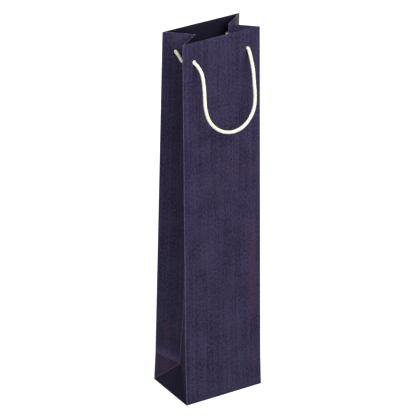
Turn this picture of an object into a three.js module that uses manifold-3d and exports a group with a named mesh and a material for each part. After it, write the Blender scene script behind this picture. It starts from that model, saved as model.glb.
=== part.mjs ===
// A paper gift bag for one wine bottle, standing open on its block bottom: two broad panels, two
// inward-folded gussets, a glued bottom with a card in it, a turned-in top hem over card strips, and two
// knotted cord handles that swing on the places where they leave the paper. Millimetres, +Z up, the front
// towards -Y.
import * as THREE from 'three';
import { mergeVertices } from 'three/addons/utils/BufferGeometryUtils.js';
import Module from 'manifold-3d';

const WIDTH = 95;
const DEPTH = 68;
const HEIGHT = 420;
// The gussets draw the mouth in, so it is shallower than the bottom.
const MOUTH_DEPTH = 40;
// Each broad panel leans in by this much between the table and the bottom crease.
const SHOULDER_DRAW = 2.3;
// The gusset crease ends this far below the top edge.
const MOUTH_DIP = 1.5;

const PAPER = 0.35;
const STRIP_CARD = 0.6;
const BASE_CARD = 1.0;
// Glued sheets and folded edges stand this far apart.
const GAP = 0.3;

const HEM_HEIGHT = 44;
const STRIP_HEIGHT = 36;
const SEAM_TAB = 14;
const FLAP_OVERLAP = 8;
const END_FLAP = 26;
const CARD_FIT = 0.7;

const CORD = 3.6;
const HOLE = 5.6;
const HOLE_DOWN = 21.8;
const HOLE_IN = 13.6;
const DRILL_SHIFT = 1.2;
const KNOT = 8.8;
const CORD_TIP = 7;
// The handle turns about a line in front of its holes and a little below them.
const SWING_OUT = 9.5;
const SWING_DOWN = 6.6;
// Cord that stays with the bag outside the panel, and room from the turning line to the loop's ends.
const ROOT_REACH = 3.5;
const SWING_ROOM = { out: 1.7, down: 2.2 };

const INK = { color: '#3d3852', roughness: 0.82, metalness: 0 };
const INK_SIDE = { color: '#383350', roughness: 0.85, metalness: 0 };
const KRAFT = { color: '#b08d62', roughness: 0.9, metalness: 0 };
const CARD = { color: '#8f8471', roughness: 0.92, metalness: 0 };
const COTTON = { color: '#f3efdc', roughness: 0.95, metalness: 0 };

const GUSSET = DEPTH / 2;
const HOLE_Z = HEIGHT - HOLE_DOWN;
const v = (x, y, z) => new THREE.Vector3(x, y, z);
const lerp = THREE.MathUtils.lerp;

const wasm = await Module();
wasm.setup();

const bag = new THREE.Group();
bag.name = 'wine_gift_bag';

function addMesh(name, geometry, finish) {
  const mesh = new THREE.Mesh(geometry, new THREE.MeshStandardMaterial(finish));
  mesh.name = name;
  bag.add(mesh);
}

// Half the distance between the broad panels at height z.
function halfDepth(z) {
  const shoulder = GUSSET - SHOULDER_DRAW;
  if (z < GUSSET) {
    return lerp(GUSSET, shoulder, z / GUSSET);
  }
  return lerp(shoulder, MOUTH_DEPTH / 2, (z - GUSSET) / (HEIGHT - GUSSET));
}

// How far the gusset crease stands in from the side: each gusset half keeps its paper width.
const creaseInset = (z) => Math.sqrt(GUSSET ** 2 - halfDepth(z) ** 2);

// Angle between a gusset half and a broad panel at height z.
const wedgeAngle = (z) => Math.asin(halfDepth(z) / GUSSET);

// Where the bottom diagonals meet the gusset crease.
const MEET_INSET = creaseInset(GUSSET);
const MEET_Z = Math.sqrt(GUSSET ** 2 - MEET_INSET ** 2);

// A sheet ruled between two edges, each a list of points on its middle surface, as a closed slab.
function sheet(edgeA, edgeB, thickness) {
  const positions = [];
  const indices = [];
  const last = edgeA.length - 1;
  edgeA.forEach((a, i) => {
    const b = edgeB[i];
    const before = Math.max(i - 1, 0);
    const after = Math.min(i + 1, last);
    const along = edgeA[after].clone().add(edgeB[after]).sub(edgeA[before]).sub(edgeB[before]);
    const half = b.clone().sub(a).cross(along).normalize().multiplyScalar(thickness / 2);
    for (const corner of [a.clone().add(half), b.clone().add(half), b.clone().sub(half), a.clone().sub(half)]) {
      positions.push(corner.x, corner.y, corner.z);
    }
  });
  for (let i = 0; i < last; i++) {
    for (let k = 0; k < 4; k++) {
      const low = 4 * i + k;
      const lowNext = 4 * i + ((k + 1) % 4);
      // Both broad faces split along the same diagonal, so a twisted sheet keeps its thickness.
      if (k < 2) {
        indices.push(low, lowNext, lowNext + 4, low, lowNext + 4, low + 4);
      } else {
        indices.push(low, lowNext, low + 4, lowNext, lowNext + 4, low + 4);
      }
    }
  }
  const top = 4 * last;
  indices.push(0, 2, 1, 0, 3, 2);
  indices.push(top, top + 1, top + 2, top, top + 2, top + 3);
  return facedOutward(positions, indices);
}

function facedOutward(positions, indices) {
  const corner = (n) => v(positions[3 * n], positions[3 * n + 1], positions[3 * n + 2]);
  let volume = 0;
  for (let i = 0; i < indices.length; i += 3) {
    volume += corner(indices[i]).dot(corner(indices[i + 1]).cross(corner(indices[i + 2])));
  }
  if (volume < 0) {
    indices.reverse();
  }
  const geometry = new THREE.BufferGeometry();
  geometry.setAttribute('position', new THREE.Float32BufferAttribute(positions, 3));
  geometry.setIndex(indices);
  geometry.computeVertexNormals();
  return geometry;
}

function toSolid(geometry) {
  const source = geometry.clone();
  source.deleteAttribute('normal');
  source.deleteAttribute('uv');
  const merged = mergeVertices(source, 1e-4);
  return new wasm.Manifold(new wasm.Mesh({
    numProp: 3,
    vertProperties: new Float32Array(merged.attributes.position.array),
    triVerts: new Uint32Array(merged.index.array),
  }));
}

function toGeometry(solid) {
  const mesh = solid.getMesh();
  const geometry = new THREE.BufferGeometry();
  geometry.setAttribute('position', new THREE.BufferAttribute(mesh.vertProperties, 3));
  geometry.setIndex(new THREE.BufferAttribute(mesh.triVerts, 1));
  geometry.computeVertexNormals();
  return geometry;
}

// A round punch through the paper at a point, along a direction.
function punch(point, direction) {
  const cylinder = new THREE.CylinderGeometry(HOLE / 2, HOLE / 2, 8, 24);
  cylinder.applyQuaternion(new THREE.Quaternion().setFromUnitVectors(v(0, 1, 0), direction));
  cylinder.translate(point.x, point.y, point.z);
  return toSolid(cylinder);
}

function punched(geometry, punches) {
  let solid = toSolid(geometry);
  for (const tool of punches) {
    solid = solid.subtract(tool);
  }
  return toGeometry(solid);
}

// A point on a broad panel: face is -1 at the front, inset goes towards the inside of the bag.
const panelPoint = (face, x, z, inset = 0) => v(x, face * (halfDepth(z) - inset), z);

// A point on a gusset half at s along the paper from the broad panel's corner, at paper height h.
function gussetPoint(side, face, s, h, inset = 0) {
  const rise = Math.max(h, GUSSET);
  const foot = v((side * WIDTH) / 2, face * GUSSET, 0);
  const edge = v((side * WIDTH) / 2, face * halfDepth(rise), rise);
  const climb = (rise - GUSSET) / (HEIGHT - GUSSET);
  const creaseZ = lerp(MEET_Z, HEIGHT - MOUTH_DIP, climb);
  const crease = v(side * (WIDTH / 2 - creaseInset(rise)), 0, creaseZ);
  const inward = v((-side * halfDepth(rise)) / GUSSET, (face * creaseInset(rise)) / GUSSET, 0);
  const point = edge.clone().lerp(crease, s / GUSSET);
  if (h < GUSSET) {
    // Below the bottom crease the corner is a flat triangle between foot, edge and meeting point.
    point.copy(foot);
    point.addScaledVector(edge.clone().sub(foot), (h - s) / GUSSET);
    point.addScaledVector(crease.clone().sub(foot), s / GUSSET);
  }
  return point.addScaledVector(inward, inset);
}

// Free paper width that keeps a gusset layer clear of the broad panel's own stack of layers.
function cornerMargin(z, layer, stack) {
  const angle = wedgeAngle(z);
  return (stack + GAP + layer * Math.cos(angle)) / Math.sin(angle);
}

const SIDES = [['left', -1], ['right', 1]];
const FACES = [['front', -1], ['back', 1]];
const hemHeights = [HEIGHT - HEM_HEIGHT, HEIGHT - HEM_HEIGHT / 2, HEIGHT];
const rowsBelowHem = 10;
const heights = [GUSSET, GUSSET + 10];
for (let i = 1; i < rowsBelowHem; i++) {
  heights.push(lerp(GUSSET + 10, hemHeights[0], i / rowsBelowHem));
}
heights.push(...hemHeights);

const panelStack = PAPER / 2 + GAP + STRIP_CARD + GAP + PAPER;
const hemInset = PAPER + GAP + STRIP_CARD + GAP;
const gussetHemInset = PAPER + GAP;

// The holes are drilled through the flat-folded bag, a little further in from the right corners.
const holeIn = (side) => (side > 0 ? HOLE_IN + DRILL_SHIFT : HOLE_IN);
const panelHole = (side, face) => panelPoint(face, side * (WIDTH / 2 - holeIn(side)), HOLE_Z);
const gussetHole = (side, face) => gussetPoint(side, face, holeIn(side), HOLE_Z);
const gussetOutward = (side, face) =>
  gussetHole(side, face).sub(gussetPoint(side, face, holeIn(side), HOLE_Z, 1));
const panelPunches = (face) => SIDES.map(([, side]) => punch(panelHole(side, face), v(0, 1, 0)));

// Broad panels, with the crease where the bottom flaps fold under, and their turned-in top hems. A card
// strip lies between panel and hem, and the handle holes go through all three.
for (const [faceName, face] of FACES) {
  const panelRows = [0, ...heights];
  addMesh(`${faceName}_panel`, punched(sheet(
    panelRows.map((z) => panelPoint(face, -WIDTH / 2, z)),
    panelRows.map((z) => panelPoint(face, WIDTH / 2, z)),
    PAPER,
  ), panelPunches(face)), INK);

  const hemHalf = WIDTH / 2 - cornerMargin(HEIGHT, panelStack, PAPER / 2);
  addMesh(`${faceName}_hem`, punched(sheet(
    hemHeights.map((z) => panelPoint(face, -hemHalf, z, hemInset)),
    hemHeights.map((z) => panelPoint(face, hemHalf, z, hemInset)),
    PAPER,
  ), panelPunches(face)), INK);

  const stripRows = [HEIGHT - 1 - STRIP_HEIGHT, HEIGHT - 1];
  const stripInset = (PAPER + STRIP_CARD) / 2 + GAP;
  addMesh(`${faceName}_card_strip`, punched(sheet(
    stripRows.map((z) => panelPoint(face, -hemHalf, z, stripInset)),
    stripRows.map((z) => panelPoint(face, hemHalf, z, stripInset)),
    STRIP_CARD,
  ), panelPunches(face)), CARD);
}

// Gusset halves run from the diagonal bottom creases to the mouth, each with its own turned-in hem.
for (const [sideName, side] of SIDES) {
  for (const [faceName, face] of FACES) {
    const hole = punch(gussetHole(side, face), gussetOutward(side, face));
    const edgeMargin = (h) => cornerMargin(h, PAPER / 2, PAPER / 2);
    const creaseMargin = (h) => (GAP / 2 + PAPER / 2) / Math.sin(wedgeAngle(h)) + 0.05;
    const footStart = 0.6;
    const footRise = 1;
    const nearEdge = [gussetPoint(side, face, footStart, footStart + footRise)];
    const nearCrease = [gussetPoint(side, face, GUSSET - creaseMargin(GUSSET), GUSSET + footRise / 2)];
    for (const h of heights) {
      nearEdge.push(gussetPoint(side, face, edgeMargin(h), h));
      nearCrease.push(gussetPoint(side, face, GUSSET - creaseMargin(h), h === GUSSET ? h + 3 : h));
    }
    addMesh(`${sideName}_gusset_${faceName}_half`, punched(sheet(nearEdge, nearCrease, PAPER), [hole]), INK_SIDE);

    const hemStart = cornerMargin(HEIGHT, gussetHemInset + PAPER / 2, panelStack);
    const hemEnd = GUSSET - creaseMargin(HEIGHT);
    addMesh(`${sideName}_gusset_${faceName}_hem`, punched(sheet(
      hemHeights.map((h) => gussetPoint(side, face, hemStart, h, gussetHemInset)),
      hemHeights.map((h) => gussetPoint(side, face, hemEnd, h, gussetHemInset)),
      PAPER,
    ), [hole]), INK_SIDE);
  }
}

// Bottom triangles: the part of each side below the diagonal creases.
const foldClear = 0.9;
for (const [sideName, side] of SIDES) {
  const triangleRow = (share) => [-1, 1].map((face) => {
    const reach = GUSSET * (1 - share) - foldClear;
    return v(side * (WIDTH / 2 - MEET_INSET * share), face * reach, MEET_Z * share);
  });
  const low = triangleRow(0.006);
  const high = triangleRow(0.96);
  addMesh(`${sideName}_bottom_triangle`, sheet([low[0], high[0]], [low[1], high[1]], PAPER), INK_SIDE);
}

// Block bottom: the end flaps fold in first, then the front flap, then the back flap, all glued. Their
// heights stack up from the table, and a stiff card lies on top of them.
const level = (layersBelow) => PAPER / 2 + layersBelow * (PAPER + GAP);
const flapEdge = GUSSET - PAPER / 2 - GAP - 0.2;
const flapTaper = 12;
FACES.forEach(([faceName, face]) => {
  const z = level(face > 0 ? 0 : 1);
  const foldHalf = WIDTH / 2 - PAPER - GAP - 0.6;
  const fold = [v(-foldHalf, face * flapEdge, z), v(foldHalf, face * flapEdge, z)];
  const freeHalf = foldHalf - flapTaper;
  const free = [v(-freeHalf, -face * FLAP_OVERLAP, z), v(freeHalf, -face * FLAP_OVERLAP, z)];
  addMesh(`${faceName}_bottom_flap`, sheet([fold[0], free[0]], [fold[1], free[1]], PAPER), INK);
});
for (const [sideName, side] of SIDES) {
  const z = level(2);
  const foldX = WIDTH / 2 - PAPER - GAP - 1;
  const foldHalf = GUSSET - SHOULDER_DRAW / 4 - PAPER - GAP;
  const freeHalf = foldHalf - END_FLAP * 0.8;
  addMesh(`${sideName}_end_flap`, sheet(
    [v(side * foldX, -foldHalf, z), v(side * (foldX - END_FLAP), -freeHalf, z)],
    [v(side * foldX, foldHalf, z), v(side * (foldX - END_FLAP), freeHalf, z)],
    PAPER,
  ), KRAFT);
}

const cardBottom = level(2) + PAPER / 2 + GAP;
const cardTop = cardBottom + BASE_CARD;
const cardHalfX = WIDTH / 2 - (MEET_INSET * cardTop) / MEET_Z - PAPER - CARD_FIT;
const cardHalfY = halfDepth(cardTop) - PAPER / 2 - CARD_FIT;
const card = new THREE.BoxGeometry(2 * cardHalfX, 2 * cardHalfY, BASE_CARD);
card.translate(0, 0, (cardBottom + cardTop) / 2);
addMesh('bottom_card', card, CARD);

// The tube's one glued seam: a tab inside the back panel beside the right corner.
const seamEdge = WIDTH / 2 - cornerMargin(HEIGHT, PAPER * 1.5 + GAP, PAPER / 2);
const seamRows = [GUSSET + 8, HEIGHT - HEM_HEIGHT - 2];
addMesh('side_seam_tab', sheet(
  seamRows.map((z) => panelPoint(1, seamEdge - SEAM_TAB, z, PAPER + GAP)),
  seamRows.map((z) => panelPoint(1, seamEdge, z, PAPER + GAP)),
  PAPER,
), KRAFT);

// A cord as a tube of even thickness along a smooth route.
function cordTube(points, steps) {
  const section = new THREE.Shape();
  section.absarc(0, 0, CORD / 2, 0, 2 * Math.PI, false);
  const route = new THREE.CatmullRomCurve3(points, false, 'centripetal');
  return new THREE.ExtrudeGeometry(section, { extrudePath: route, steps, curveSegments: 4, bevelEnabled: false });
}

// A stopper knot, seated in the fold of the gusset, with the cord's cut tip below it.
function knotSolid(centre) {
  const outline = [];
  const turns = 8;
  for (let i = 0; i <= turns; i++) {
    const angle = (Math.PI * i) / turns;
    outline.push(new THREE.Vector2((KNOT / 2) * Math.sin(angle), -(KNOT / 2) * Math.cos(angle)));
  }
  outline[0].x = 0;
  outline[turns].x = 0;
  const ball = new THREE.LatheGeometry(outline, 16);
  ball.rotateX(Math.PI / 2);
  const tip = new THREE.CylinderGeometry(CORD / 2, CORD / 2, CORD_TIP, 8);
  tip.rotateX(Math.PI / 2);
  tip.translate(0, 0, -(KNOT / 2 + CORD_TIP / 2 - 1.5));
  const whole = toSolid(ball).add(toSolid(tip));
  return toGeometry(whole).translate(centre.x, centre.y, centre.z);
}

// Cord ends: from each knot up the fold, out through the gusset hole and the panel hole.
const knotDrop = { front: 37, back: 15 };
for (const [faceName, face] of FACES) {
  for (const [sideName, side] of SIDES) {
    const drop = knotDrop[faceName];
    const z = HOLE_Z - drop;
    const seat = (KNOT / 2 + PAPER / 2 + GAP) / Math.sin(wedgeAngle(z));
    const creaseX = WIDTH / 2 - creaseInset(z);
    const knot = v(side * (creaseX + seat), 0, z);
    addMesh(`${faceName}_${sideName}_knot`, knotSolid(knot), COTTON);

    const outer = panelHole(side, face);
    const inner = gussetHole(side, face);
    const leave = inner.clone().addScaledVector(gussetOutward(side, face), 4.5);
    leave.z -= 1.2;
    const points = [v(outer.x, outer.y + face * ROOT_REACH, outer.z - ROOT_REACH / 2), outer.clone(), inner.clone(), leave];
    if (face < 0) {
      points.push(v(side * (creaseX + 16.5), -8.2, HOLE_Z - 10), v(side * (creaseX + 15.5), -7.4, HOLE_Z - 20));
    }
    const knotTop = KNOT / 2 + GAP;
    points.push(knot.clone().add(v(side, face, knotTop + 4)), knot.clone().add(v(0, 0, knotTop + 0.3)));
    addMesh(`${faceName}_${sideName}_cord_end`, cordTube(points, 18), COTTON);
  }
}

// Handle loops hang from their holes with their own stiffness. Route points are half of the front loop, as
// steps in from the left hole, out from the panel and down from the hole, and the other half mirrors them.
const loopHalf = [
  [2.9, SWING_OUT + SWING_ROOM.out, SWING_DOWN + SWING_ROOM.down],
  [3.0, 15.0, 18.1],
  [3.0, 17.2, 31.3],
  [3.1, 19.4, 46.7],
  [6.3, 21.6, 60.0],
  [13.7, 22.9, 70.0],
  [22.4, 23.5, 75.8],
];
const loopBottom = [23.6, 78.2];
for (const [faceName, face] of FACES) {
  const hole = panelHole(-1, face);
  const place = (side) => ([inward, out, down]) =>
    v(side * (WIDTH / 2 - holeIn(side) - inward), hole.y + face * out, hole.z - down);
  const left = loopHalf.map(place(-1));
  const right = loopHalf.map(place(1)).reverse();
  const middle = v(-DRILL_SHIFT / 2, hole.y + face * loopBottom[0], hole.z - loopBottom[1]);
  const points = [...left, middle, ...right];
  addMesh(`${faceName}_handle_loop`, cordTube(points, 30), COTTON);
}

export default bag;
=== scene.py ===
import math
import bpy
import bmesh
from mathutils import Matrix, Vector, noise


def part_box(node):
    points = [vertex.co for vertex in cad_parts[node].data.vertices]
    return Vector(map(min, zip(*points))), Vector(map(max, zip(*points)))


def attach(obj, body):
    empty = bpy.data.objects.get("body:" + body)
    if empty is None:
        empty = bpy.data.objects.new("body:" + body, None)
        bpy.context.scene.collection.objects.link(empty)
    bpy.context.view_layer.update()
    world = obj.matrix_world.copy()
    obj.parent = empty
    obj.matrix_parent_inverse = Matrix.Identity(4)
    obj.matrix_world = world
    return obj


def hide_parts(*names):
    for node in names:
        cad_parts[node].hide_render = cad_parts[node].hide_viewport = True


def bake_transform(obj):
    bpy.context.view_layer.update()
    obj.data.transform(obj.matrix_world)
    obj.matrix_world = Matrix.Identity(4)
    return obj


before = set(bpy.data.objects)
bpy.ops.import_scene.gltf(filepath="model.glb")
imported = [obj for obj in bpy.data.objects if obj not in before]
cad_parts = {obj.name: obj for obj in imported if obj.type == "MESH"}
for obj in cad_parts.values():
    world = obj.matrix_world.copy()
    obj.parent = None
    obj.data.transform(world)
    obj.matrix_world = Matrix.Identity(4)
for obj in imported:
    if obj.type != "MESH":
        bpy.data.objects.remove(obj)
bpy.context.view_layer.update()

# Camera: it stands to the left of the bag and well above it, far off with a long lens, so the bag's
# upright edges draw together only a little towards the bottom.
camera_azimuth = math.radians(-32.06)
camera_elevation = math.radians(27.37)
camera_roll = math.radians(0.58)
camera_distance = 4.17
camera_target = Vector((-0.0017, 0.0, 0.2117))
camera_back = Vector((
    math.sin(camera_azimuth) * math.cos(camera_elevation),
    -math.cos(camera_azimuth) * math.cos(camera_elevation),
    math.sin(camera_elevation),
))
camera_right = Vector((math.cos(camera_azimuth), math.sin(camera_azimuth), 0.0))
camera_up = camera_back.cross(camera_right)
camera_turn = Matrix((camera_right, camera_up, camera_back)).transposed().to_4x4()
camera_data = bpy.data.cameras.new("camera")
camera_data.lens = 340.3
camera_data.clip_end = 20.0
camera = bpy.data.objects.new("camera", camera_data)
camera.matrix_world = (
    Matrix.Translation(camera_target + camera_back * camera_distance)
    @ camera_turn
    @ Matrix.Rotation(camera_roll, 4, "Z")
)
bpy.context.collection.objects.link(camera)
bpy.context.scene.camera = camera

# The bag's plan, which the cords and the paper share: a creased tube, whose broad panels lean in to a
# shallower mouth while each gusset half keeps its paper width, so the gusset folds further in. The holes
# are drilled through the flat bag, a little further in at the right.
panel_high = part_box("front_panel")[1]
half_width = panel_high[0]
height = panel_high[2]
gusset = 0.034
shoulder_draw = 0.0023
mouth_half = 0.020
hole_down = 0.0218
hole_in = {-1: 0.0136, 1: 0.0148}
gusset_slip = 0.0012
hole_height = height - hole_down


def half_depth(z):
    """From the bag's middle to a broad panel, at height z."""
    shoulder = gusset - shoulder_draw
    if z < gusset:
        return gusset - shoulder_draw * z / gusset
    return shoulder + (mouth_half - shoulder) * (z - gusset) / (height - gusset)


def crease_inset(z):
    """How far a gusset's middle crease is folded in from the side, at height z."""
    return math.sqrt(gusset ** 2 - half_depth(z) ** 2)


# Cotton cords: each handle is one soft round cord, threaded out through both layers of a corner and
# hung in front of its panel by its own stiffness. Its ends stop in knots inside the gusset's fold.
both_faces = ((-1, "front"), (1, "back"))
both_sides = ((-1, "left"), (1, "right"))
cord_diameter = 0.0036
cord_sides = 16
cord_step = 0.0016
knot_size = 0.0088
knot_clear = 0.0005
loop_sway = 0.0018
# Steps in from the hole, out from the panel and down from the hole, from the left hole to the middle.
loop_route = [
    (0.0006, 0.0022, 0.0008),
    (0.0016, 0.0059, 0.0030),
    (0.0029, 0.0112, 0.0088),
    (0.0030, 0.0150, 0.0181),
    (0.0030, 0.0172, 0.0313),
    (0.0031, 0.0194, 0.0467),
    (0.0063, 0.0216, 0.0600),
    (0.0137, 0.0229, 0.0700),
    (0.0224, 0.0235, 0.0758),
    (0.0339, 0.0236, 0.0782),
]
knot_drop = {-1: 0.037, 1: 0.0165}
# Above the knot: steps out to the side, towards the panel and up from the knot's top.
knot_route = [(0.0, 0.0, -0.0015), (0.0012, 0.0010, 0.0035)]
# Inside the fold: steps in from the gusset's hole, back towards the crease and down from the hole.
fold_route = {
    -1: [(0.0012, 0.0044, 0.0195), (0.0000, 0.0040, 0.0100), (-0.0010, 0.0030, 0.0032)],
    1: [(0.0020, 0.0100, 0.0076), (0.0012, 0.0062, 0.0045), (0.0005, 0.0028, 0.0019)],
}
# Inside the mouth, halfway between the two holes and just behind the panel's: steps in, back and up.
mouth_route = [(0.0009, 0.0006, 0.0006), (0.0016, 0.0020, 0.0020)]


def knot_place(side, face):
    """The knot rests in the fold, against both gusset halves."""
    z = hole_height - knot_drop[face]
    seat = (knot_size / 2 + knot_clear) / (half_depth(z) / gusset)
    return Vector((side * (half_width - crease_inset(z) + seat), 0.0, z))


def gusset_hole(side, face):
    share = (hole_in[side] + gusset_slip) / gusset
    return Vector((
        side * (half_width - crease_inset(hole_height) * share),
        face * half_depth(hole_height) * (1 - share),
        hole_height,
    ))


def smooth_path(points, step):
    """A centripetal Catmull-Rom line through the points, cut to even steps."""
    ends = [points[0] * 2 - points[1], *points, points[-1] * 2 - points[-2]]
    dense = []
    for before, a, b, after in zip(ends, ends[1:], ends[2:], ends[3:]):
        t0 = 0.0
        t1 = t0 + (a - before).length ** 0.5
        t2 = t1 + (b - a).length ** 0.5
        t3 = t2 + (after - b).length ** 0.5
        for i in range(24):
            t = t1 + (t2 - t1) * i / 24
            p = before.lerp(a, (t - t0) / (t1 - t0))
            q = a.lerp(b, (t - t1) / (t2 - t1))
            r = b.lerp(after, (t - t2) / (t3 - t2))
            p = p.lerp(q, (t - t0) / (t2 - t0))
            q = q.lerp(r, (t - t1) / (t3 - t1))
            dense.append(p.lerp(q, (t - t1) / (t2 - t1)))
    dense.append(points[-1].copy())
    lengths = [(b - a).length for a, b in zip(dense, dense[1:])]
    total = sum(lengths)
    count = max(2, round(total / step))
    even = []
    walked, k = 0.0, 0
    for i in range(count + 1):
        want = total * i / count
        while k < len(lengths) - 1 and walked + lengths[k] < want:
            walked += lengths[k]
            k += 1
        even.append(dense[k].lerp(dense[k + 1], min(1.0, (want - walked) / lengths[k])))
    return even


def path_length(path):
    return sum((b - a).length for a, b in zip(path, path[1:]))


def cord_tube(name, path, radius, sides):
    """A round tube along a path, drawn out ring by ring, with UVs in metres round and along it."""
    bm = bmesh.new()
    uv_layer = bm.loops.layers.uv.new("along")
    index = bm.verts.layers.int.new("ring")
    ring = bmesh.ops.create_circle(bm, segments=sides, radius=radius, cap_ends=False)["verts"]
    tangent = (path[1] - path[0]).normalized()
    turn = Vector((0, 0, 1)).rotation_difference(tangent)
    bmesh.ops.transform(bm, matrix=Matrix.Translation(path[0]) @ turn.to_matrix().to_4x4(), verts=ring)
    for k, vert in enumerate(ring):
        vert[index] = k
    edges = list({edge for vert in ring for edge in vert.link_edges})
    for i in range(1, len(path)):
        ahead = path[min(i + 1, len(path) - 1)]
        tangent_now = (ahead - path[i - 1]).normalized()
        swing = tangent.rotation_difference(tangent_now).to_matrix().to_4x4()
        moved = bmesh.ops.extrude_edge_only(bm, edges=edges)["geom"]
        verts = [g for g in moved if isinstance(g, bmesh.types.BMVert)]
        edges = [g for g in moved if isinstance(g, bmesh.types.BMEdge)]
        step = Matrix.Translation(path[i]) @ swing @ Matrix.Translation(-path[i - 1])
        bmesh.ops.transform(bm, matrix=step, verts=verts)
        for vert in verts:
            vert[index] = vert[index] % sides + i * sides
        tangent = tangent_now
    length = path_length(path)
    girth = 2 * math.pi * radius
    for face in bm.faces:
        places = [divmod(loop.vert[index], sides) for loop in face.loops]
        wraps = max(k for _, k in places) == sides - 1 and min(k for _, k in places) == 0
        for loop, (i, k) in zip(face.loops, places):
            if wraps and k == 0:
                k = sides
            loop[uv_layer].uv = (girth * k / sides, length * i / (len(path) - 1))
        face.smooth = True
    for loop_edges in (
        [e for e in bm.edges if e.is_boundary and all(v[index] < sides for v in e.verts)],
        [e for e in bm.edges if e.is_boundary and all(v[index] >= sides for v in e.verts)],
    ):
        bmesh.ops.edgeloop_fill(bm, edges=loop_edges)
    bmesh.ops.recalc_face_normals(bm, faces=bm.faces)
    mesh = bpy.data.meshes.new(name)
    bm.to_mesh(mesh)
    bm.free()
    piece = bpy.data.objects.new(name, mesh)
    bpy.context.collection.objects.link(piece)
    return piece


def cord_half(side, face):
    """A cord's points from one knot, through the gusset and the panel, to the loop's bottom."""
    knot = knot_place(side, face)
    inner = gusset_hole(side, face)
    hole = Vector((side * (half_width - hole_in[side]), face * half_depth(hole_height), hole_height))
    half = []
    for out, on, up in knot_route:
        half.append(knot + Vector((side * out, face * on, knot_size / 2 + up)))
    for inward, back, down in fold_route[face]:
        half.append(inner + Vector((-side * inward, -face * back, -down)))
    half.append(inner)
    for start, (inward, back, up) in zip(((inner + hole) / 2, hole), mouth_route):
        half.append(start + Vector((-side * inward, -face * back, up)))
    half.append(hole)
    for inward, out, down in loop_route:
        sway = loop_sway * (down / loop_route[-1][2]) ** 8
        half.append(hole + Vector((sway - side * inward, face * out, -down)))
    return half


def cord_path(face):
    left, right = cord_half(-1, face), cord_half(1, face)
    bottom = (left.pop() + right.pop()) / 2
    return smooth_path([*left, bottom, *reversed(right)], cord_step)


cords = {}
cord_paths = {}
for face, face_name in both_faces:
    cord_paths[face] = cord_path(face)
    cords[face] = cord_tube(f"{face_name}_cord", cord_paths[face], cord_diameter / 2, cord_sides)


def new_material(name, roughness):
    material = bpy.data.materials.new(name)
    material.use_nodes = True
    shader = material.node_tree.nodes["Principled BSDF"]
    shader.inputs["Roughness"].default_value = roughness
    return material, material.node_tree, shader


def add_node(tree, kind, settings=None, **values):
    """A shader node with its settings, and each named or numbered socket set to a value or linked."""
    made = tree.nodes.new(kind)
    for key, value in (settings or {}).items():
        setattr(made, key, value)
    for key, value in values.items():
        socket = made.inputs[int(key[1:])] if key[0] == "_" else made.inputs[key.replace("_", " ")]
        if isinstance(value, bpy.types.NodeSocket):
            tree.links.new(value, socket)
        else:
            socket.default_value = value
    return made


def maths(tree, operation, a, b=0.0, c=0.0):
    return add_node(tree, "ShaderNodeMath", {"operation": operation}, _0=a, _1=b, _2=c).outputs[0]


def remap(tree, value, low, high, to_low=0.0, to_high=1.0):
    made = add_node(
        tree, "ShaderNodeMapRange", {"interpolation_type": "SMOOTHSTEP"},
        _0=value, _1=low, _2=high, _3=to_low, _4=to_high,
    )
    return made.outputs[0]


def mix_colour(tree, share, first, second):
    made = add_node(tree, "ShaderNodeMix", {"data_type": "RGBA"}, _0=share, _6=first, _7=second)
    return made.outputs[2]


# The cord's cotton is braided in fine crossing strands, with painted shade darkening the grooves between
# them, broken up by a little loose fuzz. The pattern runs round and along the cord itself.
cotton_light = (0.93, 0.885, 0.73, 1)
cotton_groove_shade = (0.66, 0.60, 0.44, 1)
strand_turns = 8
strand_pitch = 0.0026
cotton, tree, shader = new_material("braided_cotton", 0.92)
shader.inputs["Sheen Weight"].default_value = 0.25
shader.inputs["Sheen Roughness"].default_value = 0.6
along = add_node(tree, "ShaderNodeUVMap", {"uv_map": "along"}).outputs[0]
split = add_node(tree, "ShaderNodeSeparateXYZ", _0=along)
round_angle = maths(tree, "MULTIPLY", split.outputs[0], 2 * strand_turns / cord_diameter)
along_angle = maths(tree, "MULTIPLY", split.outputs[1], 2 * math.pi / strand_pitch)
one_way = maths(tree, "SINE", maths(tree, "ADD", round_angle, along_angle))
other_way = maths(tree, "SINE", maths(tree, "SUBTRACT", round_angle, along_angle))
braid = maths(tree, "MULTIPLY", one_way, other_way)
fuzz = add_node(tree, "ShaderNodeTexNoise", Vector=along, Scale=1400.0, Detail=3.0).outputs[0]
braid_mask = remap(tree, maths(tree, "ADD", braid, maths(tree, "MULTIPLY", fuzz, 0.8)), -0.7, 1.0)
# Painted shade: the grooves take the darker cotton colour.
tree.links.new(mix_colour(tree, braid_mask, cotton_groove_shade, cotton_light), shader.inputs["Base Color"])
bump = add_node(tree, "ShaderNodeBump", Height=braid_mask, Strength=0.6, Distance=0.0002)
tree.links.new(bump.outputs[0], shader.inputs["Normal"])

# Stopper knots: an overhand knot pulled tight in the same cord, squeezed thinner by the pull, with the
# cord's cut tip hanging out below it.
knot_strand = 0.00145
knot_reach = 0.0022
knot_weave = 0.0009
knot_rise = 0.0016
knot_steps = 72
knot_sides = 12
tip_start = 0.005
tip_length = 0.0105
tip_step = 0.0012
tip_lean = 0.0004
tip_squeeze = 0.94


def join_pieces(name, parts):
    bm = bmesh.new()
    for part in parts:
        bm.from_mesh(part.data)
        bpy.data.objects.remove(part)
    mesh = bpy.data.meshes.new(name)
    bm.to_mesh(mesh)
    bm.free()
    joined = bpy.data.objects.new(name, mesh)
    bpy.context.collection.objects.link(joined)
    return joined


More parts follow.
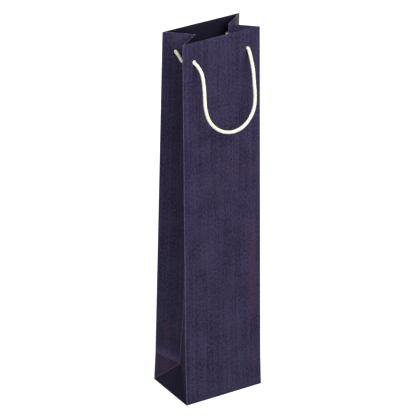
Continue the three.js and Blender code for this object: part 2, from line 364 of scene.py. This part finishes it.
for face, face_name in both_faces:
    for side, side_name in both_sides:
        centre = knot_place(side, face)
        wind = []
        for i in range(knot_steps + 3):
            t = 2 * math.pi * i / knot_steps
            reach = knot_reach + knot_weave * math.cos(3 * t)
            wind.append(centre + Vector((
                reach * math.cos(2 * t + side),
                reach * math.sin(2 * t + side),
                knot_rise * math.sin(3 * t),
            )))
        strand = cord_tube("wind", wind, knot_strand, knot_sides)
        lean = Vector((-side * tip_lean, face * tip_lean, 0))
        tip_points = [
            centre,
            centre - Vector((0, 0, tip_start)) + lean * 0.4,
            centre - Vector((0, 0, tip_length)) + lean,
        ]
        tip = smooth_path(tip_points, tip_step)
        end = cord_tube("tip", tip, cord_diameter / 2 * tip_squeeze, knot_sides)
        knot = join_pieces(f"{face_name}_{side_name}_stopper_knot", [strand, end])
        knot.data.materials.append(cotton)
        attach(knot, "bag")
        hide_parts(f"{face_name}_{side_name}_knot")

# Each cord takes the cotton and stands in for the model's cord ends and handle loop, which are hidden.
for face, face_name in both_faces:
    piece = cords[face]
    piece.data.materials.append(cotton)
    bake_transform(piece)
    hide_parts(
        f"{face_name}_left_cord_end", f"{face_name}_right_cord_end", f"{face_name}_handle_loop"
    )

# Paper tube: one sheet of ribbed kraft, printed dark violet on its outside, creased into the two broad
# panels and the folded gussets, and turned in at the mouth over the card strips. The handle holes are
# punched through it.
paper_thickness = 0.0003
crease_round = 0.0010
fold_rise = 0.0006
panel_hem_inset = 0.00155
gusset_hem_inset = 0.00065
hem_height = 0.044
hole_width = 0.0051
wave_depth = 0.00028
wave_across, wave_up = 22, 9
calm_edge, calm_foot = 0.012, 0.06
punch_depth = 0.007
mouth_dip = 0.0015
low_rows = 16
plain_rows = 62
hem_rows = 12
fold_steps = 6
panel_columns = 24
# The right gusset has opened a little at the mouth, so its crease stands further out and back there.
opens_from = 0.6
opened_out, opened_back = 0.0030, 0.0019


def wall_corners(h, panel_inset, gusset_inset):
    """The tube's six corners at paper height h, from the back right corner, moved in by each wall's inset."""
    rise = max(h, gusset)
    depth = half_depth(rise)
    crease_x = half_width - crease_inset(rise)
    meet_z = math.sqrt(gusset ** 2 - crease_inset(gusset) ** 2)
    crease_z = meet_z + (height - mouth_dip - meet_z) * (rise - gusset) / (height - gusset)
    opened = max(0.0, (rise / height - opens_from) / (1 - opens_from)) ** 1.5
    plan = [
        Vector((half_width, depth)), Vector((-half_width, depth)), Vector((-crease_x, 0)),
        Vector((-half_width, -depth)), Vector((half_width, -depth)),
        Vector((crease_x + opened_out * opened, opened_back * opened)),
    ]
    insets = [panel_inset, gusset_inset, gusset_inset] * 2
    heights = [rise, rise, crease_z, rise, rise, crease_z + mouth_dip * opened]
    corners = []
    for k in range(6):
        a, b, c = plan[k - 1], plan[k], plan[(k + 1) % 6]
        into = (b - a).normalized()
        out = (c - b).normalized()
        in_normal = Vector((-into.y, into.x))
        out_normal = Vector((-out.y, out.x))
        # The moved corner lies at both insets from the two walls that meet there.
        det = in_normal.x * out_normal.y - in_normal.y * out_normal.x
        d, e = insets[k - 1], insets[k]
        shift = Vector((d * out_normal.y - e * in_normal.y, e * in_normal.x - d * out_normal.x)) / det
        spot = b + shift
        corners.append(Vector((spot.x, spot.y, heights[k])))
    return corners


def wall_point(k, s, h, panel_inset=0.0, gusset_inset=0.0):
    """A point on wall k, a share s of the way along it, at paper height h."""
    corners = wall_corners(h, panel_inset, gusset_inset)
    a, b = corners[k], corners[(k + 1) % 6]
    if h >= gusset:
        return a.lerp(b, s)
    low = h / gusset
    feet = [
        Vector((half_width, gusset, 0)), Vector((-half_width, gusset, 0)), Vector((-half_width, 0, 0)),
        Vector((-half_width, -gusset, 0)), Vector((half_width, -gusset, 0)), Vector((half_width, 0, 0)),
    ]
    foot_a, foot_b = feet[k], feet[(k + 1) % 6]
    if k % 3 == 0:
        return foot_a.lerp(a, low).lerp(foot_b.lerp(b, low), s)
    if k % 3 == 2:
        s, foot_a, foot_b, a, b = 1 - s, foot_b, foot_a, b, a
    # A gusset half folds on the diagonal from its foot to the crease: flat triangles above and below it.
    if low >= s:
        return foot_a + (a - foot_a) * (low - s) + (b - foot_a) * s
    return foot_a + (foot_b - foot_a) * (s - low) + (b - foot_a) * low


wall_lengths = [2 * half_width, gusset, gusset] * 2
wall_starts = [sum(wall_lengths[:k]) for k in range(6)]
columns = []
for k, length in enumerate(wall_lengths):
    parts = panel_columns if k % 3 == 0 else low_rows
    round_parts = [crease_round * share for share in (0, 0.33, 0.67)]
    inner = [length * i / parts for i in range(parts + 1)]
    inner = [s for s in inner if crease_round * 1.2 < s < length - crease_round * 1.2]
    ends = [length - s for s in reversed(round_parts[1:])]
    columns += [(k, s) for s in [*round_parts, crease_round, *inner, length - crease_round, *ends]]
columns.append((5, wall_lengths[5]))

rows = [(gusset * i / low_rows, 0.0) for i in range(low_rows)]
hem_foot = height - hem_height
rows += [(gusset + (hem_foot - gusset) * i / plain_rows, 0.0) for i in range(plain_rows)]
rows += [(hem_foot + (hem_height - fold_rise) * i / hem_rows, 0.0) for i in range(hem_rows)]
for i in range(fold_steps + 1):
    turn = math.pi * i / fold_steps
    rows.append((height - fold_rise + fold_rise * math.sin(turn), (1 - math.cos(turn)) / 2))
rows += [(height - fold_rise - (hem_height - fold_rise) * i / hem_rows, 1.0) for i in range(1, hem_rows + 1)]

bm = bmesh.new()
grid_x, grid_y = len(columns) - 1, len(rows) - 1
bmesh.ops.create_grid(bm, x_segments=grid_x, y_segments=grid_y, size=0.5)
paper_uv = bm.loops.layers.uv.new("paper")
wear_uv = bm.loops.layers.uv.new("wear")
fold_uv = bm.loops.layers.uv.new("fold")
column_of, row_of = {}, {}
for vert in bm.verts:
    i, j = round((vert.co.x + 0.5) * grid_x), round((vert.co.y + 0.5) * grid_y)
    column_of[vert], row_of[vert] = i, j
walked = [0.0]
for (h, inset), (h_next, inset_next) in zip(rows, rows[1:]):
    walked.append(walked[-1] + math.hypot(h_next - h, (inset_next - inset) * panel_hem_inset))
top_row = low_rows + plain_rows + hem_rows + fold_steps // 2
# The wear map holds the distance to the nearest crease and to the top fold. The broad panels' top edges
# are pressed in and don't rub, so they start at 10 mm, and their turned-in hems at one metre, which marks
# the hems for the painted shade inside the mouth. The fold map holds how far a gusset's point is below the
# diagonal of its bottom triangle, and its height.
for face in bm.faces:
    walls = [columns[column_of[vert]][0] for vert in face.verts]
    turned_in = min(row_of[vert] for vert in face.verts) >= top_row
    pressed_in = 0.0
    if min(walls) % 3 == 0:
        pressed_in = 1.0 if turned_in else 0.01
    for loop in face.loops:
        k, s = columns[column_of[loop.vert]]
        j = row_of[loop.vert]
        loop[paper_uv].uv = (wall_starts[k] + s, walked[j])
        from_edge = min(s, wall_lengths[k] - s)
        below_fold = -1.0
        if k % 3:
            across = s if k % 3 == 1 else gusset - s
            below_fold = across - rows[j][0]
            if rows[j][0] < gusset:
                from_edge = across
        loop[wear_uv].uv = (from_edge, abs(walked[j] - walked[top_row]) + pressed_in)
        loop[fold_uv].uv = (below_fold, rows[j][0])
    face.smooth = True
for vert in bm.verts:
    k, s = columns[column_of[vert]]
    h, turned_in = rows[row_of[vert]]
    insets = (panel_hem_inset * turned_in, gusset_hem_inset * turned_in)
    length = wall_lengths[k]
    share = s / length
    place = wall_point(k, share, h, *insets)
    before = s < crease_round
    if before or s > length - crease_round:
        # Creases are a small round bend between the two walls that meet there.
        near = k - 1 if before else k
        far = k if before else k + 1
        near, far = near % 6, far % 6
        start = wall_point(near, 1 - crease_round / wall_lengths[near], h, *insets)
        corner = wall_point(far, 0.0, h, *insets)
        finish = wall_point(far, crease_round / wall_lengths[far], h, *insets)
        t = 0.5 + 0.5 * (s / crease_round if before else (s - length) / crease_round)
        place = start.lerp(corner, t).lerp(corner.lerp(finish, t), t)
    wall = wall_point(k, 1.0, h) - wall_point(k, 0.0, h)
    inward = Vector((-wall.y, wall.x, 0)).normalized()
    calm = min(1.0, min(s, length - s) / calm_edge) * min(1.0, h / calm_foot)
    spot = Vector(((wall_starts[k] + s) * wave_across, h * wave_up, 3.7))
    ripple = noise.noise(spot) + 0.35 * noise.noise(spot * 3.1)
    vert.co = place + inward * (ripple * wave_depth * calm)
bmesh.ops.remove_doubles(bm, verts=bm.verts, dist=1e-6)
# A quad with a fold across it is split along that fold.
folded_over, sharp_edge = math.radians(12), math.radians(45)
for quad in [f for f in bm.faces if len(f.verts) == 4]:
    a, b, c, d = quad.verts
    bent = (b.co - a.co).cross(d.co - a.co).angle((d.co - c.co).cross(b.co - c.co), 0.0)
    other = (a.co - b.co).cross(c.co - b.co).angle((c.co - d.co).cross(a.co - d.co), 0.0)
    if max(bent, other) > folded_over:
        pair = (b, d) if bent > other else (a, c)
        bmesh.utils.face_split(quad, *pair)
bmesh.ops.recalc_face_normals(bm, faces=bm.faces)
for edge in bm.edges:
    edge.smooth = edge.calc_face_angle(0.0) < sharp_edge
mesh = bpy.data.meshes.new("paper_tube")
bm.to_mesh(mesh)
bm.free()
tube = bpy.data.objects.new("paper_tube", mesh)
bpy.context.collection.objects.link(tube)

# Each handle hole is a pair: one through the panel and one through the gusset half behind it.
punches = bmesh.new()
for face in (-1, 1):
    for side in (-1, 1):
        panel_at = Vector((side * (half_width - hole_in[side]), face * half_depth(hole_height), hole_height))
        share = half_depth(hole_height) / gusset
        gusset_normal = Vector((side * share, -face * math.sqrt(1 - share ** 2), 0))
        for at, direction in ((panel_at, Vector((0, 1, 0))), (gusset_hole(side, face), gusset_normal)):
            turn = Vector((0, 0, 1)).rotation_difference(direction).to_matrix().to_4x4()
            bmesh.ops.create_cone(
                punches, cap_ends=True, segments=32, radius1=hole_width / 2, radius2=hole_width / 2,
                depth=punch_depth, matrix=Matrix.Translation(at) @ turn,
            )
punch_mesh = bpy.data.meshes.new("hole_punches")
punches.to_mesh(punch_mesh)
punches.free()
punch = bpy.data.objects.new("hole_punches", punch_mesh)
bpy.context.collection.objects.link(punch)
wall = tube.modifiers.new("sheet", "SOLIDIFY")
wall.thickness = paper_thickness
wall.offset = 0.0
wall.use_even_offset = False
wall.material_offset = 1
wall.material_offset_rim = 1
holes = tube.modifiers.new("holes", "BOOLEAN")
holes.operation = "DIFFERENCE"
holes.solver = "EXACT"
holes.object = punch

# Printed kraft: fine ribs run up the sheet, the ink is a little uneven, and it has worn to lilac along
# the creases and the mouth. The sheet's other side is bare brown kraft.
rib_pitch = 0.0015
ink_dark = (0.0118, 0.0081, 0.0280, 1)
ink_light = (0.0405, 0.0322, 0.0775, 1)
ink_red = (0.058, 0.022, 0.052, 1)
ink_worn_and_highlight = (0.102, 0.083, 0.195, 1)
hem_shade_ink = (0.0055, 0.0048, 0.0125, 1)
deep_shade_ink = (0.0012, 0.0010, 0.0026, 1)
fold_shade_ink = (0.0036, 0.0022, 0.0170, 1)
edge_raw = (0.165, 0.105, 0.155, 1)
highlight_brown = (0.105, 0.080, 0.075, 1)


def paper_grain():
    """Ribs and fibres of machine-made kraft, from paper places in metres."""
    tree = bpy.data.node_groups.new("paper_grain", "ShaderNodeTree")
    tree.interface.new_socket("Place", in_out="INPUT", socket_type="NodeSocketVector")
    tree.interface.new_socket("Rib Pitch", in_out="INPUT", socket_type="NodeSocketFloat")
    for name in ("Ribs", "Streaks", "Fibres", "Mottle"):
        tree.interface.new_socket(name, in_out="OUTPUT", socket_type="NodeSocketFloat")
    place = tree.nodes.new("NodeGroupInput")
    out = tree.nodes.new("NodeGroupOutput")
    split = add_node(tree, "ShaderNodeSeparateXYZ", _0=place.outputs["Place"])
    drift = add_node(tree, "ShaderNodeTexNoise", Vector=place.outputs["Place"], Scale=45.0, Detail=2.0)
    turns = maths(tree, "DIVIDE", split.outputs[0], place.outputs["Rib Pitch"])
    turns = maths(tree, "ADD", turns, maths(tree, "MULTIPLY", drift.outputs[0], 0.5))
    ribs = maths(tree, "SINE", maths(tree, "MULTIPLY", turns, 2 * math.pi))
    ribs = maths(tree, "MULTIPLY_ADD", ribs, 0.5, 0.5)
    drawn = add_node(tree, "ShaderNodeMapping", Vector=place.outputs["Place"], Scale=(330.0, 9.0, 330.0))
    streaks = add_node(tree, "ShaderNodeTexNoise", Vector=drawn.outputs[0], Scale=1.0, Detail=3.0)
    fibre_map_and_fold_shade = add_node(tree, "ShaderNodeMapping", Vector=place.outputs["Place"], Scale=(680.0, 330.0, 680.0))
    fibres = add_node(
        tree, "ShaderNodeTexNoise", Vector=fibre_map_and_fold_shade.outputs[0], Scale=1.0, Detail=3.0, Roughness=0.65
    )
    mottle = add_node(
        tree, "ShaderNodeTexNoise", Vector=place.outputs["Place"], Scale=38.0, Detail=5.0, Roughness=0.6
    )
    made = (ribs, streaks.outputs[0], fibres.outputs[0], mottle.outputs[0])
    for socket, value in zip(out.inputs, made):
        tree.links.new(value, socket)
    return tree


grain_group = paper_grain()


def grain(tree, place, pitch):
    made = tree.nodes.new("ShaderNodeGroup")
    made.node_tree = grain_group
    tree.links.new(place, made.inputs["Place"])
    made.inputs["Rib Pitch"].default_value = pitch
    return [made.outputs[name] for name in ("Ribs", "Streaks", "Fibres", "Mottle")]


def printed_colour(tree, ribs, streaks, fibres, mottle):
    tone = maths(tree, "MULTIPLY_ADD", ribs, 0.16, -1.53)
    tone = maths(tree, "MULTIPLY_ADD", streaks, 0.9, tone)
    tone = maths(tree, "MULTIPLY_ADD", fibres, 2.2, tone)
    tone = maths(tree, "MULTIPLY_ADD", mottle, 0.8, tone)
    return mix_colour(tree, remap(tree, tone, 0.0, 1.0), ink_dark, ink_light)


printed, tree, shader = new_material("printed_kraft", 0.68)
shader.inputs["Specular IOR Level"].default_value = 0.16
place = add_node(tree, "ShaderNodeUVMap", {"uv_map": "paper"}).outputs[0]
ribs, streaks, fibres, mottle = grain(tree, place, rib_pitch)
colour = printed_colour(tree, ribs, streaks, fibres, mottle)
blush = add_node(tree, "ShaderNodeTexNoise", Vector=place, Scale=21.0, Detail=3.0).outputs[0]
colour = mix_colour(tree, remap(tree, blush, 0.58, 0.74, 0.0, 0.42), colour, ink_red)
# A reddish scuff runs up beside the front panel's right crease.
sheet_u, sheet_v, _ = add_node(tree, "ShaderNodeSeparateXYZ", _0=place).outputs
scuff_across, scuff_height = 0.084, 0.132
scuff_off = maths(tree, "ABSOLUTE", maths(tree, "SUBTRACT", sheet_u, wall_starts[3] + scuff_across))
scuff_up = maths(tree, "ABSOLUTE", maths(tree, "SUBTRACT", sheet_v, scuff_height))
scuff = maths(tree, "MULTIPLY", remap(tree, scuff_off, 0.008, 0.001), remap(tree, scuff_up, 0.075, 0.030))
scuff = maths(tree, "MULTIPLY", scuff, remap(tree, fibres, 0.35, 0.65, 0.15, 0.75))
colour = mix_colour(tree, scuff, colour, ink_red)
wear_place = add_node(tree, "ShaderNodeUVMap", {"uv_map": "wear"}).outputs[0]
from_crease, from_mouth, _ = add_node(tree, "ShaderNodeSeparateXYZ", _0=wear_place).outputs
chafe = add_node(tree, "ShaderNodeTexNoise", Vector=place, Scale=420.0, Detail=4.0).outputs[0]
crease_wear = remap(tree, from_crease, 0.0016, 0.0002)
crease_wear = maths(tree, "MULTIPLY", crease_wear, remap(tree, chafe, 0.30, 0.62, 0.25, 0.85))
mouth_wear = remap(tree, from_mouth, 0.0012, 0.0002)
patches = add_node(tree, "ShaderNodeTexNoise", Vector=place, Scale=130.0, Detail=2.0).outputs[0]
mouth_wear = maths(tree, "MULTIPLY", mouth_wear, remap(tree, patches, 0.46, 0.66, 0.05, 0.8))
colour = mix_colour(tree, crease_wear, colour, ink_worn_and_highlight)
colour = mix_colour(tree, mouth_wear, colour, edge_raw)
# The bottom folds: painted shade on the folded triangle, a red tinge beside it, and a painted highlight
# band above it. At the left the gusset's front half takes painted shade all over, and a little way up.
fold_place = add_node(tree, "ShaderNodeUVMap", {"uv_map": "fold"}).outputs[0]
below_fold, fold_height, _ = add_node(tree, "ShaderNodeSeparateXYZ", _0=fold_place).outputs
ink_edge = 0.0003
on_gusset = remap(tree, below_fold, -0.9, -0.6)
left_front = maths(
    tree, "MULTIPLY",
    remap(tree, sheet_u, wall_starts[2] - ink_edge, wall_starts[2] + ink_edge),
    remap(tree, sheet_u, wall_starts[3] + ink_edge, wall_starts[3] - ink_edge),
)
elsewhere = maths(tree, "SUBTRACT", 1.0, left_front)
beside = maths(tree, "MULTIPLY", on_gusset, remap(tree, fold_height, gusset + 0.0004, gusset - 0.0004))
colour = mix_colour(tree, maths(tree, "MULTIPLY", beside, 0.30), colour, ink_red)
# Painted highlight: a paler band just above the fold on the gusset walls, in patches.
painted_highlight_band = remap(tree, fold_height, gusset + 0.013, gusset + 0.001)
painted_highlight_band = maths(tree, "MULTIPLY", maths(tree, "SUBTRACT", painted_highlight_band, beside), on_gusset)
painted_highlight_band = maths(tree, "MULTIPLY", painted_highlight_band, remap(tree, chafe, 0.25, 0.7, 0.14, 0.56))
colour = mix_colour(tree, maths(tree, "MULTIPLY", painted_highlight_band, elsewhere), colour, ink_worn_and_highlight)
# Painted shade over the left gusset's front half, fading out a little way above the fold.
shaded = remap(tree, fold_height, gusset + 0.065, gusset + 0.005, 0.0, 0.6)
colour = mix_colour(tree, maths(tree, "MULTIPLY", left_front, shaded), colour, fold_shade_ink)
# Painted shade on the bottom triangle below the fold.
fibre_map_and_fold_shade = remap(tree, below_fold, -0.0002, 0.0002)
fibre_map_and_fold_shade = maths(tree, "MAXIMUM", fibre_map_and_fold_shade, maths(tree, "MULTIPLY", beside, left_front))
colour = mix_colour(tree, maths(tree, "MULTIPLY", fibre_map_and_fold_shade, 0.80), colour, fold_shade_ink)
fold_line = remap(tree, maths(tree, "ABSOLUTE", below_fold), 0.0009, 0.0001)
fold_line = maths(tree, "MULTIPLY", fold_line, remap(tree, chafe, 0.30, 0.62, 0.1, 0.55))
fold_line = maths(tree, "MULTIPLY", fold_line, elsewhere)
colour = mix_colour(tree, fold_line, colour, edge_raw)
# Painted shade darkens the turned-in hems inside the mouth, nearly to black at the left end, and a painted
# highlight turns the back right corner by its seam greyish brown at the mouth.
colour = mix_colour(tree, remap(tree, from_mouth, 0.6, 0.9, 0.0, 0.92), colour, hem_shade_ink)
# Painted deep shade: the turned-in sheet near the left end goes nearly black.
turned_in = remap(tree, sheet_v, height + 0.0008, height + 0.0025)
from_left = maths(tree, "ABSOLUTE", maths(tree, "SUBTRACT", sheet_u, wall_starts[2]))
painted_deep_shade = maths(tree, "MULTIPLY", turned_in, remap(tree, from_left, 0.068, 0.040, 0.0, 0.85))
colour = mix_colour(tree, painted_deep_shade, colour, deep_shade_ink)
# Painted highlight: a greyish-brown patch on the right gusset's back half by the back right corner, just
# below the mouth.
seam_at = maths(tree, "SUBTRACT", sheet_u, wall_starts[5] + gusset)
painted_corner_highlight = remap(tree, seam_at, -0.020, -0.006)
painted_corner_highlight = maths(tree, "MULTIPLY", painted_corner_highlight, remap(tree, sheet_v, height - 0.045, height - 0.016))
painted_corner_highlight = maths(tree, "MULTIPLY", painted_corner_highlight, remap(tree, sheet_v, height + 0.0012, height - 0.001))
colour = mix_colour(tree, maths(tree, "MULTIPLY", painted_corner_highlight, 0.8), colour, highlight_brown)
tree.links.new(colour, shader.inputs["Base Color"])
relief = maths(tree, "MULTIPLY_ADD", fibres, 0.5, ribs)
bump = add_node(tree, "ShaderNodeBump", Height=relief, Strength=0.5, Distance=0.00006)
tree.links.new(bump.outputs[0], shader.inputs["Normal"])

kraft_dark = (0.24, 0.135, 0.058, 1)
kraft_light = (0.46, 0.29, 0.145, 1)


def kraft_colour(tree, fibres, mottle):
    tone = maths(tree, "ADD", maths(tree, "MULTIPLY", fibres, 0.8), maths(tree, "MULTIPLY", mottle, 0.5))
    return mix_colour(tree, remap(tree, tone, 0.35, 0.95), kraft_dark, kraft_light)


bare, tree, shader = new_material("bare_kraft", 0.85)
place = add_node(tree, "ShaderNodeUVMap", {"uv_map": "paper"}).outputs[0]
_, _, fibres, mottle = grain(tree, place, rib_pitch)
tree.links.new(kraft_colour(tree, fibres, mottle), shader.inputs["Base Color"])
bump = add_node(tree, "ShaderNodeBump", Height=fibres, Strength=0.4, Distance=0.00005)
tree.links.new(bump.outputs[0], shader.inputs["Normal"])

tube.data.materials.append(printed)
tube.data.materials.append(bare)
depsgraph = bpy.context.evaluated_depsgraph_get()
cut_mesh = bpy.data.meshes.new_from_object(tube.evaluated_get(depsgraph))
tube.modifiers.clear()
tube.data = cut_mesh
bpy.data.objects.remove(punch)
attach(tube, "bag")
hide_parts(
    "front_panel", "back_panel", "front_hem", "back_hem",
    "left_gusset_front_half", "left_gusset_back_half", "right_gusset_front_half", "right_gusset_back_half",
    "left_gusset_front_hem", "left_gusset_back_hem", "right_gusset_front_hem", "right_gusset_back_hem",
    "left_bottom_triangle", "right_bottom_triangle",
)

# Block bottom, seam tab and stiffeners: the printed flaps folded under and glued, the bare sides of
# the end flaps and the seam, and grey board for the mouth's strips and the bottom card.
folded, tree, shader = new_material("folded_flaps", 0.7)
place = add_node(tree, "ShaderNodeTexCoord").outputs["Object"]
ribs, streaks, fibres, mottle = grain(tree, place, rib_pitch)
tree.links.new(printed_colour(tree, ribs, streaks, fibres, mottle), shader.inputs["Base Color"])
bump = add_node(tree, "ShaderNodeBump", Height=ribs, Strength=0.5, Distance=0.00006)
tree.links.new(bump.outputs[0], shader.inputs["Normal"])

inner_kraft, tree, shader = new_material("inner_kraft", 0.86)
place = add_node(tree, "ShaderNodeTexCoord").outputs["Object"]
_, _, fibres, mottle = grain(tree, place, rib_pitch)
tree.links.new(kraft_colour(tree, fibres, mottle), shader.inputs["Base Color"])

board, tree, shader = new_material("grey_board", 0.9)
place = add_node(tree, "ShaderNodeTexCoord").outputs["Object"]
pulp = add_node(tree, "ShaderNodeTexNoise", Vector=place, Scale=600.0, Detail=6.0, Roughness=0.7).outputs[0]
board_dark = (0.20, 0.175, 0.14, 1)
board_light = (0.38, 0.34, 0.28, 1)
board_colour = mix_colour(tree, remap(tree, pulp, 0.3, 0.7), board_dark, board_light)
tree.links.new(board_colour, shader.inputs["Base Color"])
bump = add_node(tree, "ShaderNodeBump", Height=pulp, Strength=0.5, Distance=0.0001)
tree.links.new(bump.outputs[0], shader.inputs["Normal"])

for material, names in (
    (folded, ("front_bottom_flap", "back_bottom_flap")),
    (inner_kraft, ("left_end_flap", "right_end_flap", "side_seam_tab")),
    (board, ("front_card_strip", "back_card_strip", "bottom_card")),
):
    for name in names:
        for slot in bpy.data.objects[name].material_slots:
            slot.material = material

# Floor and light: a white studio table and an even white surround. A large soft lamp high in front makes
# the front the brightest side, and weaker ones light the left side and the back.
bm = bmesh.new()
bmesh.ops.create_grid(bm, x_segments=1, y_segments=1, size=6.0, matrix=Matrix.Translation((0, 0, -0.0003)))
floor_mesh = bpy.data.meshes.new("floor")
bm.to_mesh(floor_mesh)
bm.free()
floor = bpy.data.objects.new("floor", floor_mesh)
bpy.context.collection.objects.link(floor)
white, tree, shader = new_material("white_floor", 0.9)
shader.inputs["Base Color"].default_value = (0.32, 0.32, 0.32, 1)
# The table shines for the camera alone, so its white stays even without lighting the bag.
table_glow = 0.90
shader.inputs["Emission Color"].default_value = (1.0, 1.0, 1.0, 1)
seen = add_node(tree, "ShaderNodeLightPath").outputs["Is Camera Ray"]
tree.links.new(maths(tree, "MULTIPLY", seen, table_glow), shader.inputs["Emission Strength"])
# It is clear from below, so that the bag's underside can be seen.
under = add_node(tree, "ShaderNodeNewGeometry").outputs["Backfacing"]
shown = maths(tree, "MULTIPLY", maths(tree, "SUBTRACT", 1.0, under), seen)
tree.links.new(shown, shader.inputs["Alpha"])
floor_mesh.materials.append(white)

surround_glow = 0.42
world = bpy.data.worlds.new("surround")
world.use_nodes = True
world.node_tree.nodes["Background"].inputs["Color"].default_value = (1.0, 1.0, 1.0, 1)
world.node_tree.nodes["Background"].inputs["Strength"].default_value = surround_glow
bpy.context.scene.world = world
bpy.context.scene.view_settings.view_transform = "Standard"


lamp_distance = 2.2
lamp_target = Vector((0, 0, 0.25))


def soft_lamp(name, azimuth, elevation, size, power):
    data = bpy.data.lights.new(name, "AREA")
    data.shape = "DISK"
    data.size = size
    data.energy = power
    lamp = bpy.data.objects.new(name, data)
    a, e = math.radians(azimuth), math.radians(elevation)
    away = Vector((math.sin(a) * math.cos(e), -math.cos(a) * math.cos(e), math.sin(e)))
    lamp.location = lamp_target + away * lamp_distance
    lamp.rotation_euler = away.to_track_quat("Z", "Y").to_euler()
    bpy.context.collection.objects.link(lamp)


soft_lamp("key", 4, 40, 1.5, 56)
soft_lamp("left_fill", -80, 28, 1.0, 15)
soft_lamp("back_fill", 168, 34, 1.5, 24)
